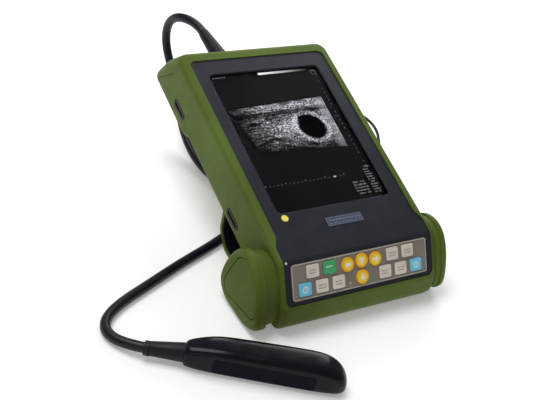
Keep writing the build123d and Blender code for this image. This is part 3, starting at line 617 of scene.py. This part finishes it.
# ---------------------------------------------------------------- marks on the bezel and the keypad
def make_marks():
    top = BEZEL_TOP
    yellow = [disc(-46, -70, 2.7)]
    plates("yellow_mark", yellow, slab, top, top + 0.08, print_yellow, "scanner")
    light = [disc(-61.8, 27.7, 0.9, 16)]
    plates("charge_light", light, keypad, 0.0, 0.1, print_white, "scanner")
    low, high = NAME_PLATE_TOP, NAME_PLATE_TOP + 0.12
    outer = rounded(*NAME_PLATE, 30.2, 6.8, 0.8)
    inner = rounded(*NAME_PLATE, 29.2, 5.8, 0.5)
    band("plate_edge", outer, inner, slab, low, high, print_slate, "scanner", "plate")
    bars = [rectangle(-12.6 + 2.75 * i, -78.7, 1.9, 1.5) for i in range(10)]
    bars += [rectangle(-12.6 + 3.55 * i, -81.3, 2.5, 0.8) for i in range(8)]
    plates("plate_bars", bars, slab, low, high, print_slate, "scanner")
    width, height = OVERLAY_SIZE
    outer = rounded(0, height / 2, width - 0.4, height - 0.4, 1.9)
    inner = rounded(0, height / 2, width - 1.8, height - 1.8, 1.3)
    low = OVERLAY_TOP + OVERLAY_BORDER
    band("overlay_edge", outer, inner, keypad, low, low + 0.07, print_pale, "scanner", "overlay")
    low, high = OVERLAY_TOP, OVERLAY_TOP + PRINT_THICK
    lime = [disc(-10.4, 4.3, 0.9, 12), rectangle(-10.4, 2.2, 0.7, 1.2)]
    plates("lime_mark", lime, keypad, low, high, print_lime, "scanner")
    teal = [[(6.6, 3.2), (9.4, 6.6), (12.4, 3.4), (9.6, 4.6)], rectangle(9.4, 2.4, 4.6, 0.7)]
    plates("teal_mark", teal, keypad, low, high, print_teal, "scanner")


def stadium(length, width, steps=12):
    """Outline of a slot, its length along y."""
    reach = (length - width) / 2
    points = []
    for end in (1, -1):
        for i in range(steps + 1):
            turn = math.pi * i / steps + (0 if end > 0 else math.pi)
            points.append((width / 2 * math.cos(turn), end * reach + width / 2 * math.sin(turn)))
    return points


def make_slot_shade_rims():
    """Black rims that stand a little proud of the side slots; their black is painted shade for the dark
    slot openings.
    """
    outer, inner = stadium(*SLOT_SHADE_RIM_OUTER), stadium(*SLOT_SHADE_RIM_INNER)
    for side, name in ((-1, "left"), (1, "right")):
        for i, (_, h, n) in enumerate((CORD_CORNERS[0], CORD_CORNERS[-1])):

            def flank(across, along, out):
                return slab(side * (BODY_HALF + out), h + along, n + across)

            label = f"slot_shade_rim_{name}_{i + 1}"
            band(label, outer, inner, flank, -0.3, 0.35, looks["black_rubber"], "scanner", "black_plastic")


def square_centre(node):
    """Middle of a key as (x, k), from where its solid is."""
    low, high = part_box(node)
    middle = (low + high) / 2 / MM
    away_y = middle.y - KEYPAD_FOOT[0]
    away_z = middle.z - KEYPAD_FOOT[1]
    return middle.x, away_y * math.cos(KEYPAD_TILT) + away_z * math.sin(KEYPAD_TILT)


def make_key_prints():
    low, high = KEY_TOP, KEY_TOP + 0.07
    rng = random.Random(11)
    headings = {"key_up": 0, "key_left": 90, "key_down": 180, "key_right": 270}
    arrow = [(0, 2.6), (-2.5, 0.1), (-1.0, 0.1), (-1.0, -2.4), (1.0, -2.4), (1.0, 0.1), (2.5, 0.1)]
    for name in sorted(nodes):
        if not name.startswith("key_") or name == "key_domes":
            continue
        x, k = square_centre(name)
        body = name + "_cap"
        if name in headings:
            face = disc(x, k, 3.9)
            plates(name + "_face", [face], keypad, low, low + 0.05, print_gold, body)
            turn = math.radians(headings[name])
            cosine, sine = math.cos(turn), math.sin(turn)
            sign = [(x + ax * cosine - ay * sine, k + ax * sine + ay * cosine) for ax, ay in arrow]
            plates(name + "_arrow", [sign], keypad, low + 0.05, low + 0.11, print_white, body)
        elif name in ("key_save", "key_power"):
            ring = disc(x, k, 2.4), disc(x, k, 1.7)
            band(name + "_ring", *ring, keypad, low, high, print_white, body, "blue_key")
            bar = [rectangle(x, k + 0.2, 0.7, 2.4)]
            plates(name + "_bar", bar, keypad, low, high, print_white, body)
        else:
            tint, slot = (print_white, "green_key") if name == "key_freeze" else (print_grey, "white_key")
            dashes = []
            for row in range(1 if name == "key_freeze" else 2):
                reach = x - 3.0
                while reach < x + 2.4:
                    width = rng.uniform(0.6, 1.3)
                    dashes.append(rectangle(reach + width / 2, k + 0.9 - 2.0 * row, width, 0.9))
                    reach += width + 0.35
            plates(name + "_dashes", dashes, keypad, low, high, tint, body)


make_marks()
make_slot_shade_rims()
make_key_prints()


# ---------------------------------------------------------------- probe
def make_probe():
    """Smooth probe: rounded sections along its length, flat where its window is."""
    heading = Vector((math.cos(PROBE_HEADING), math.sin(PROBE_HEADING), 0))
    aside = Vector((-heading.y, heading.x, 0))
    # along, width, height, middle aside, middle up, squareness
    sections = [
        (-0.6, 12.5, 13.0, -1.2, -0.9, 2.2),
        (0.4, 15.0, 15.5, -1.2, -0.9, 2.6),
        (3.0, 16.3, 16.8, -0.9, -0.7, 3.0),
        (9.0, 18.2, 18.4, -0.35, -0.15, 3.6),
        (16.0, 19.5, 19.6, 0.3, 0.35, 4.2),
        (24.0, 20.5, 20.5, 0.75, 0.75, 4.6),
        (40.0, 21.0, 20.75, 1.0, 0.88, 4.8),
        (64.0, 21.75, 21.1, 1.38, 1.05, 4.8),
        (84.0, 22.4, 21.4, 1.7, 1.22, 4.6),
        (92.0, 21.9, 21.0, 1.5, 1.0, 4.2),
        (98.0, 20.4, 19.7, 1.0, 0.4, 3.6),
        (102.5, 17.8, 17.6, 0.3, -0.6, 3.0),
        (105.6, 13.4, 14.0, -0.4, -1.8, 2.5),
        (107.4, 8.4, 9.4, -1.0, -3.0, 2.2),
        (107.9, 3.2, 3.8, -1.2, -3.8, 2.0),
    ]
    around = 40
    shape = bmesh.new()
    rings = []
    for along, width, height, off, lift, squareness in sections:
        ring = []
        for i in range(around):
            turn = 2 * math.pi * i / around
            c, s = math.cos(turn), math.sin(turn)
            v = math.copysign(abs(c) ** (2 / squareness), c) * width / 2 + off
            w = math.copysign(abs(s) ** (2 / squareness), s) * height / 2 + lift
            point = PROBE_TAIL + heading * along + aside * v + Vector((0, 0, w))
            point.z = max(point.z, 0.05)
            ring.append(shape.verts.new(point * MM))
        rings.append(ring)
    for ring, following in zip(rings, rings[1:]):
        for i in range(around):
            j = (i + 1) % around
            shape.faces.new((ring[i], ring[j], following[j], following[i]))
    shape.faces.new(rings[0][::-1])
    shape.faces.new(rings[-1])
    bmesh.ops.recalc_face_normals(shape, faces=shape.faces)
    for face in shape.faces:
        face.smooth = True
    mesh = bpy.data.meshes.new("probe_shell")
    shape.to_mesh(mesh)
    shape.free()
    shell = link("probe_shell", mesh, looks["probe"], "scanner")
    rounding = shell.modifiers.new("rounding", "SUBSURF")
    rounding.levels = rounding.render_levels = 1
    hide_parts("probe_body", "probe_nose", "probe_lens")

    def near_side(along, up, out):
        return (PROBE_TAIL + heading * along + aside * (PROBE_FLAT - out) + Vector((0, 0, up))) * MM

    # Soft window panel in the near side
    window = [rounded(53, -0.4, 68, 11.0, 2.2)]
    face = looks["probe_face"]
    plates("probe_window", window, near_side, -0.6, 0.12, face, "scanner")


make_probe()


# ---------------------------------------------------------------- floor, light and colour
def make_stage():
    mesh = bpy.data.meshes.new("floor")
    size = 3.0
    corners = [(-size, -size, 0), (size, -size, 0), (size, size, 0), (-size, size, 0)]
    mesh.from_pydata(corners, [], [(0, 1, 2, 3)])
    floor = bpy.data.objects.new("floor", mesh)
    bpy.context.scene.collection.objects.link(floor)
    shade = Shade("pale_floor", (0.9, 0.9, 0.9), 0.7, Emission_Strength=0.22)
    shade.set("Emission Color", (1, 1, 1, 1))
    mesh.materials.append(shade.material)
    world = bpy.data.worlds.new("studio")
    bpy.context.scene.world = world
    world.use_nodes = True
    background = world.node_tree.nodes["Background"]
    background.inputs["Color"].default_value = (1.0, 1.0, 1.0, 1)
    background.inputs["Strength"].default_value = 0.32


def make_light(name, place, target, size, power):
    data = bpy.data.lights.new(name, "AREA")
    data.shape = "RECTANGLE"
    data.size, data.size_y = size
    data.energy = power
    light = bpy.data.objects.new(name, data)
    place = Vector(place)
    turn = (Vector(target) - place).to_track_quat("-Z", "Y")
    light.matrix_world = Matrix.Translation(place) @ turn.to_matrix().to_4x4()
    bpy.context.scene.collection.objects.link(light)


make_stage()
make_light("key_light", (-0.35, 0.35, 1.3), (0, 0.08, 0.05), (0.9, 0.7), 11.5)
make_light("fill_light", (-1.1, -0.7, 0.5), (0, 0.05, 0.03), (0.8, 0.6), 0.9)
make_light("rim_light", (0.7, 0.9, 0.7), (0, 0.08, 0.05), (0.8, 0.5), 5.5)
bpy.context.scene.view_settings.view_transform = "Standard"
